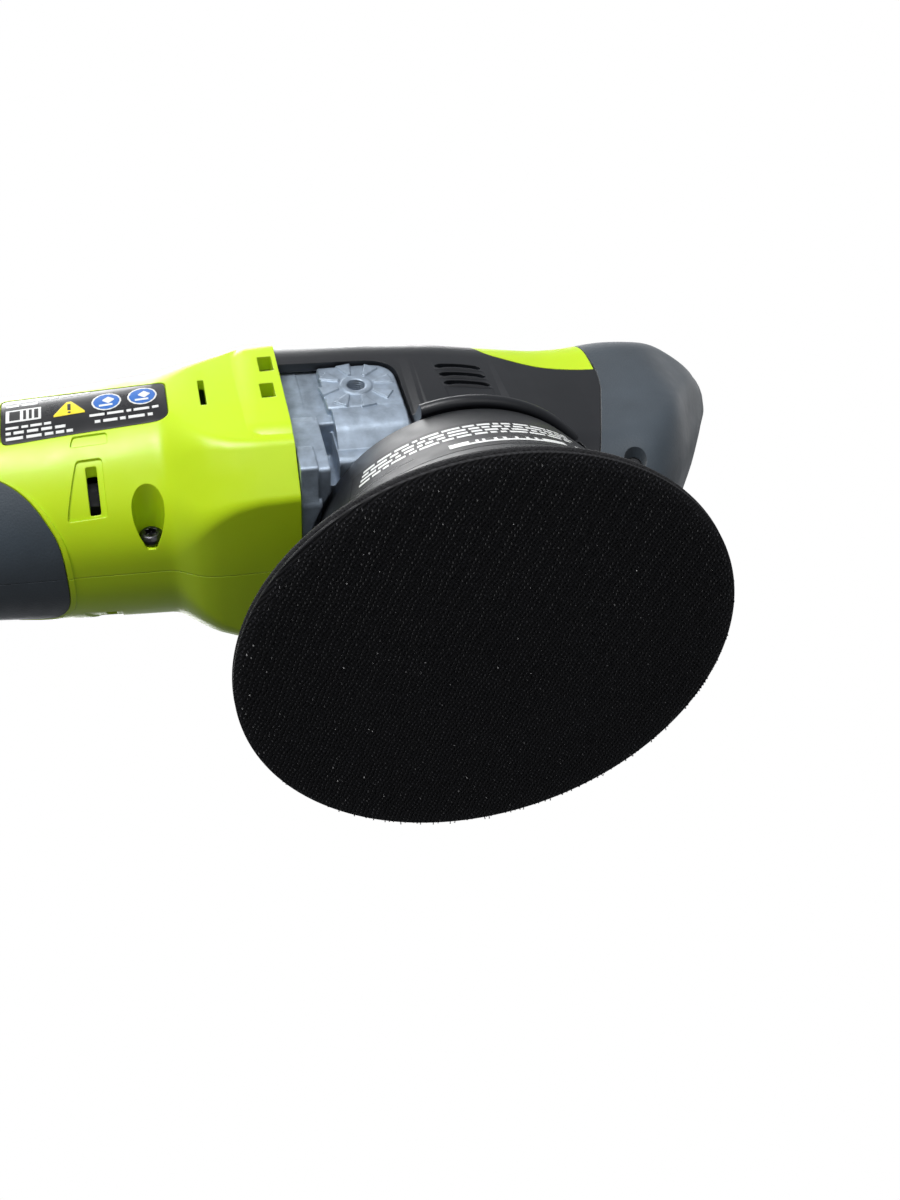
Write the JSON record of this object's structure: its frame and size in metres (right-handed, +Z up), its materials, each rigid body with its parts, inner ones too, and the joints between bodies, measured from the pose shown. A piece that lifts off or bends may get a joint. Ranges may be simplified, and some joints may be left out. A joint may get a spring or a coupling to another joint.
{
  "type": "orbital sander",
  "caption": "Cordless inline orbital sander: lime clamshell body, black angle head with a rubber nose, metal gear case, 125 mm hook pad on an eccentric spindle.",
  "frame": {"origin": "the spindle axis at the plane of the pad face", "axes": "+Z up along the spindle, away from the pad; +X towards the nose, -X along the handle to the battery"},
  "size_m": [0.4085, 0.125, 0.1285],
  "materials": {
    "lime_plastic": "satin moulded plastic, lime green",
    "black_plastic": "fine textured black moulded plastic",
    "grey_rubber": "blue-grey soft rubber overmould with a fine grain",
    "cast_aluminium": "as-cast grey aluminium",
    "steel": "turned steel",
    "black_steel": "black oxide steel",
    "bearing_steel": "ground bearing steel",
    "copper": "copper windings and segments",
    "carbon": "carbon brush",
    "magnet": "sintered magnet",
    "circuit_green": "circuit board",
    "foam": "black moulded foam",
    "hook_fabric": "black hook fastener",
    "cell_sleeve": "blue cell sleeves in a holder",
    "label_film": null
  },
  "bodies": {
    "housing": {"housing_left": "lime_plastic", "housing_right": "lime_plastic", "grip_left": "grey_rubber", "grip_right": "grey_rubber", "head_cover": "black_plastic", "nose_grip": "grey_rubber", "accent_insert": "lime_plastic", "gear_case": "cast_aluminium", "bearing_plate": "cast_aluminium", "shroud": "black_plastic", "upper_spindle_bearing": "bearing_steel", "lower_spindle_bearing": "bearing_steel", "front_motor_bearing": "bearing_steel", "rear_motor_bearing": "bearing_steel", "motor_can": "steel", "magnet_left": "magnet", "magnet_right": "magnet", "brush_carrier": "black_plastic", "brush_left": "carbon", "brush_right": "carbon", "switch_body": "black_plastic", "control_board": "circuit_green", "terminal_block": "black_plastic", "trigger_pin": "steel", "rating_label": "label_film", "trigger_spring": "steel", "lock_spring": "steel", "housing_screw_1": "black_steel", "case_screw_1": "black_steel", "housing_screw_2": "black_steel", "case_screw_2": "black_steel", "housing_screw_3": "black_steel", "case_screw_3": "black_steel", "housing_screw_4": "black_steel", "case_screw_4": "black_steel"},
    "spindle_assembly": {"spindle": "steel", "driven_gear": "steel", "counterweight_hub": "steel", "eccentric_bearing_upper": "bearing_steel", "eccentric_bearing_lower": "bearing_steel"},
    "pad_assembly": {"pad_shaft": "steel", "pad_plate": "black_plastic", "pad_foam": "foam", "hook_face": "hook_fabric"},
    "rotor": {"motor_shaft": "steel", "pinion": "steel", "armature": "copper", "commutator": "copper", "cooling_fan": "black_plastic"},
    "trigger_lever": {"trigger": "black_plastic"},
    "lock": {"lock_button": "black_plastic"},
    "dial": {"speed_dial": "black_plastic"},
    "battery": {"battery_front_shell": "black_plastic", "battery_rear_shell": "black_plastic", "cell_pack": "cell_sleeve"},
    "left_latch": {"latch_left": "lime_plastic"},
    "right_latch": {"latch_right": "lime_plastic"}
  },
  "joints": [
    {"name": "spindle_spin", "type": "hinge", "parent": "housing", "child": "spindle_assembly", "pos_m": [0, 0, 0.06], "axis": [0, 0, 1], "continuous": true},
    {"name": "pad_spin", "type": "hinge", "parent": "spindle_assembly", "child": "pad_assembly", "pos_m": [-0.004, 0, 0.02], "axis": [0, 0, 1], "continuous": true},
    {"name": "motor_spin", "type": "hinge", "parent": "housing", "child": "rotor", "pos_m": [-0.092, 0, 0.0765], "axis": [1, 0, 0], "continuous": true},
    {"name": "trigger_press", "type": "hinge", "parent": "housing", "child": "trigger_lever", "pos_m": [-0.144, 0, 0.056], "axis": [0, 1, 0], "range_deg": [0, 4.5], "stiffness_Nm_per_rad": 2, "springref_deg": -2.86, "deforming": ["trigger_spring"]},
    {"name": "lock_press", "type": "slide", "parent": "housing", "child": "lock", "axis": [0, 1, 0], "range_m": [0, 0.003], "stiffness_N_per_m": 300, "springref_m": -0.001, "deforming": ["lock_spring"]},
    {"name": "dial_turn", "type": "hinge", "parent": "housing", "child": "dial", "pos_m": [-0.205, 0, 0.0925], "axis": [0, 1, 0], "range_deg": [-135, 135]},
    {"name": "battery_slide", "type": "slide", "parent": "housing", "child": "battery", "axis": [-1, 0, 0], "range_m": [0, 0.06]},
    {"name": "latch_left_press", "type": "slide", "parent": "battery", "child": "left_latch", "axis": [0, 1, 0], "range_m": [0, 0.0025], "stiffness_N_per_m": 400, "springref_m": -0.001},
    {"name": "latch_right_press", "type": "slide", "parent": "battery", "child": "right_latch", "axis": [0, -1, 0], "range_m": [0, 0.0025], "stiffness_N_per_m": 400, "springref_m": -0.001}
  ],
  "couplings": [
    {"joint": "motor_spin", "follows": "spindle_spin", "ratio": -3}
  ]
}
